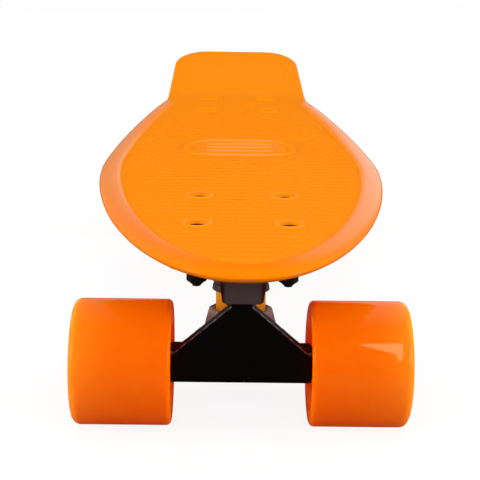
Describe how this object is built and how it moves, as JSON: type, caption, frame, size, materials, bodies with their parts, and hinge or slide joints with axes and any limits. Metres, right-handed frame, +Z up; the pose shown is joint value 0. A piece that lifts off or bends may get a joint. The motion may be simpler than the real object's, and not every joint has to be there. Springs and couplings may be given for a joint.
{
  "type": "cruiser skateboard",
  "caption": "Short cruiser skateboard with a moulded plastic deck, a kicktail, two steering trucks and four wide urethane wheels.",
  "frame": {"origin": "centre of the board's length and width on the ground that the wheels stand on", "axes": "+X across the board to the right when it is seen from the nose's side in front, +Y from nose to tail along the board, +Z up"},
  "size_m": [0.156, 0.559, 0.1192],
  "materials": {
    "deck_plastic": "orange moulded plastic, satin",
    "wheel_urethane": "orange cast urethane, glossy",
    "black_paint": "black powder coat on cast aluminium",
    "grey_paint": "dark grey paint, satin",
    "amber_urethane": "amber cast urethane",
    "black_steel": "blackened steel",
    "bright_steel": "plated steel",
    "black_nylon": "black nylon"
  },
  "bodies": {
    "board": {"deck": "deck_plastic", "front_baseplate": "grey_paint", "front_pivot_cup": "black_nylon", "front_kingpin": "black_steel", "front_kingpin_nut": "black_steel", "front_upper_bushing": "amber_urethane", "front_lower_bushing": "amber_urethane", "front_upper_cup_washer": "grey_paint", "front_lower_cup_washer": "grey_paint", "front_outer_left_deck_bolt": "black_steel", "front_outer_left_lock_nut": "black_steel", "front_outer_right_deck_bolt": "black_steel", "front_outer_right_lock_nut": "black_steel", "front_inner_left_deck_bolt": "black_steel", "front_inner_left_lock_nut": "black_steel", "front_inner_right_deck_bolt": "black_steel", "front_inner_right_lock_nut": "black_steel", "rear_baseplate": "grey_paint", "rear_pivot_cup": "black_nylon", "rear_kingpin": "black_steel", "rear_kingpin_nut": "black_steel", "rear_upper_bushing": "amber_urethane", "rear_lower_bushing": "amber_urethane", "rear_upper_cup_washer": "grey_paint", "rear_lower_cup_washer": "grey_paint", "rear_outer_left_deck_bolt": "black_steel", "rear_outer_left_lock_nut": "black_steel", "rear_outer_right_deck_bolt": "black_steel", "rear_outer_right_lock_nut": "black_steel", "rear_inner_left_deck_bolt": "black_steel", "rear_inner_left_lock_nut": "black_steel", "rear_inner_right_deck_bolt": "black_steel", "rear_inner_right_lock_nut": "black_steel"},
    "front_axle_group": {"front_hanger": "black_paint", "front_axle": "bright_steel", "front_left_axle_nut": "bright_steel", "front_left_inner_races_and_spacer": "bright_steel", "front_right_axle_nut": "bright_steel", "front_right_inner_races_and_spacer": "bright_steel"},
    "front_left_wheel_group": {"front_left_wheel": "wheel_urethane", "front_left_inner_bearing": "bright_steel", "front_left_outer_bearing": "bright_steel"},
    "front_right_wheel_group": {"front_right_wheel": "wheel_urethane", "front_right_inner_bearing": "bright_steel", "front_right_outer_bearing": "bright_steel"},
    "rear_axle_group": {"rear_hanger": "black_paint", "rear_axle": "bright_steel", "rear_left_axle_nut": "bright_steel", "rear_left_inner_races_and_spacer": "bright_steel", "rear_right_axle_nut": "bright_steel", "rear_right_inner_races_and_spacer": "bright_steel"},
    "rear_left_wheel_group": {"rear_left_wheel": "wheel_urethane", "rear_left_inner_bearing": "bright_steel", "rear_left_outer_bearing": "bright_steel"},
    "rear_right_wheel_group": {"rear_right_wheel": "wheel_urethane", "rear_right_inner_bearing": "bright_steel", "rear_right_outer_bearing": "bright_steel"}
  },
  "joints": [
    {"name": "front_steer", "type": "hinge", "parent": "board", "child": "front_axle_group", "pos_m": [0, -0.1705, 0.045], "axis": [0, -0.7934, 0.6088], "range_deg": [-15, 15], "stiffness_Nm_per_rad": 60, "deforming": ["front_upper_bushing", "front_lower_bushing"]},
    {"name": "front_left_wheel_spin", "type": "hinge", "parent": "front_axle_group", "child": "front_left_wheel_group", "pos_m": [-0.055, -0.1925, 0.0295], "axis": [1, 0, 0], "continuous": true},
    {"name": "front_right_wheel_spin", "type": "hinge", "parent": "front_axle_group", "child": "front_right_wheel_group", "pos_m": [0.055, -0.1925, 0.0295], "axis": [1, 0, 0], "continuous": true},
    {"name": "rear_steer", "type": "hinge", "parent": "board", "child": "rear_axle_group", "pos_m": [0, 0.1195, 0.045], "axis": [0, 0.7934, 0.6088], "range_deg": [-15, 15], "stiffness_Nm_per_rad": 60, "deforming": ["rear_upper_bushing", "rear_lower_bushing"]},
    {"name": "rear_left_wheel_spin", "type": "hinge", "parent": "rear_axle_group", "child": "rear_left_wheel_group", "pos_m": [-0.055, 0.1415, 0.0295], "axis": [1, 0, 0], "continuous": true},
    {"name": "rear_right_wheel_spin", "type": "hinge", "parent": "rear_axle_group", "child": "rear_right_wheel_group", "pos_m": [0.055, 0.1415, 0.0295], "axis": [1, 0, 0], "continuous": true}
  ]
}
